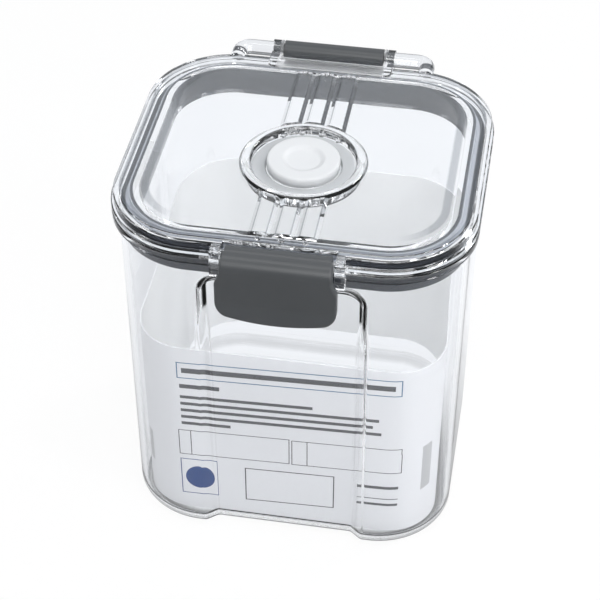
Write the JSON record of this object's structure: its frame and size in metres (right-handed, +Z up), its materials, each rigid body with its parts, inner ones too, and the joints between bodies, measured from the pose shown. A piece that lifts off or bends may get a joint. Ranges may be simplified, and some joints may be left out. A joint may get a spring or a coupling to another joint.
{
  "type": "vacuum seal canister",
  "caption": "Clear rounded-square food canister with a hinged lid, front latch, silicone gasket and push release valve.",
  "frame": {"origin": "centre of the base, on the surface that the canister stands on", "axes": "+Z up, -Y to the front latch, +Y to the rear hinge, +X to the right seen from the front"},
  "size_m": [0.122, 0.1279, 0.1379],
  "materials": {
    "clear_body": "clear moulded styrene plastic, polished",
    "clear_lid": "clear moulded styrene plastic, polished",
    "gasket": "dark grey silicone, satin",
    "grey_plastic": "dark grey ABS, semi gloss",
    "white_silicone": "white silicone, satin",
    "seat_silicone": "pale grey silicone, satin",
    "card": "smooth coated printed card, pale grey with plain ruled panels"
  },
  "bodies": {
    "body": {"canister_body": "clear_body", "hinge_clip": "grey_plastic", "insert_card": "card"},
    "lid": {"lid_shell": "clear_lid", "lid_gasket": "gasket", "latch_pin": "clear_lid", "hinge_pin": "grey_plastic", "valve_seat": "seat_silicone"},
    "latch": {"front_latch": "grey_plastic"},
    "valve": {"valve_button": "white_silicone"}
  },
  "joints": [
    {"name": "lid_hinge", "type": "hinge", "parent": "body", "child": "lid", "pos_m": [0, 0.0606, 0.1344], "axis": [-1, 0, 0], "range_deg": [0, 105]},
    {"name": "latch_pivot", "type": "hinge", "parent": "lid", "child": "latch", "pos_m": [0, -0.0552, 0.1329], "axis": [-1, 0, 0], "range_deg": [0, 100]},
    {"name": "valve_press", "type": "slide", "parent": "lid", "child": "valve", "axis": [0, 0, -1], "range_m": [0, 0.0014], "stiffness_N_per_m": 2000}
  ]
}
